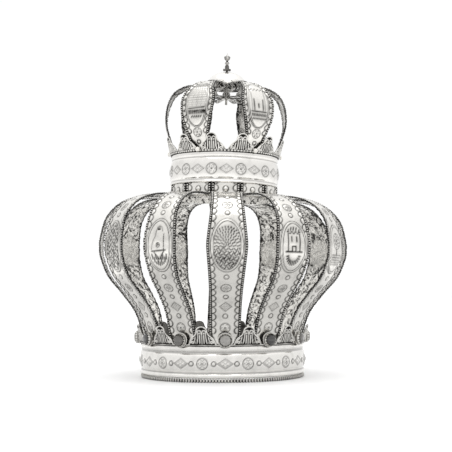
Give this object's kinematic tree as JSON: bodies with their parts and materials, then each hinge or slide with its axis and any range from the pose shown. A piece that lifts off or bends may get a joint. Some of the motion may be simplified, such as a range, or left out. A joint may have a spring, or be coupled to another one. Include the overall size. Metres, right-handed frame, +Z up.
{
  "type": "torah crown",
  "caption": "Tall openwork silver crown: chased base band, broad embossed straps swelling out to a neck, and a small crown of arches under a domed cap with finial.",
  "frame": {"origin": "middle of the base ring at the bottom of the foot wire, within about 1 mm of the middle of the whole box", "axes": "+Z up, front (pictured side) towards -Y, the crown leans slightly towards +X"},
  "size_m": [0.2679, 0.2688, 0.3553],
  "materials": {
    "polished_silver": "old silver, bright and softly worn, with tarnish in the chased lines",
    "chased_silver": "embossed and chased silver sheet, bright on the high points and oxidised grey in the hollows",
    "pale_stone": "faceted glass stone, middle grey",
    "deep_stone": "faceted glass stone, very dark",
    "mid_stone": "faceted glass stone, dark grey",
    "pearl": "flat pearl set on the silver"
  },
  "bodies": {
    "root": {"foot_bead_wire": "chased_silver", "base_band": "polished_silver", "base_cresting": "chased_silver", "strap_01": "chased_silver", "bezel_01": "chased_silver", "stone_01": "pale_stone", "strap_02": "chased_silver", "bezel_02": "chased_silver", "stone_02": "deep_stone", "strap_03": "chased_silver", "bezel_03": "chased_silver", "stone_03": "mid_stone", "strap_04": "chased_silver", "bezel_04": "chased_silver", "stone_04": "pale_stone", "strap_05": "chased_silver", "bezel_05": "chased_silver", "stone_05": "deep_stone", "strap_06": "chased_silver", "bezel_06": "chased_silver", "stone_06": "mid_stone", "strap_07": "chased_silver", "bezel_07": "chased_silver", "stone_07": "pale_stone", "strap_08": "chased_silver", "bezel_08": "chased_silver", "stone_08": "deep_stone", "strap_09": "chased_silver", "bezel_09": "chased_silver", "stone_09": "mid_stone", "strap_10": "chased_silver", "bezel_10": "chased_silver", "stone_10": "pale_stone", "strap_11": "chased_silver", "bezel_11": "chased_silver", "stone_11": "deep_stone", "strap_12": "chased_silver", "bezel_12": "chased_silver", "stone_12": "mid_stone", "collar": "chased_silver", "upper_band": "polished_silver", "upper_cresting": "chased_silver", "upper_strap_1": "chased_silver", "pearl_1": "pearl", "upper_strap_2": "chased_silver", "pearl_2": "pearl", "upper_strap_3": "chased_silver", "pearl_3": "pearl", "upper_strap_4": "chased_silver", "pearl_4": "pearl", "upper_strap_5": "chased_silver", "pearl_5": "pearl", "upper_strap_6": "chased_silver", "pearl_6": "pearl", "dome_cap": "polished_silver", "washer": "chased_silver", "nut": "chased_silver", "finial": "polished_silver"}
  },
  "joints": []
}
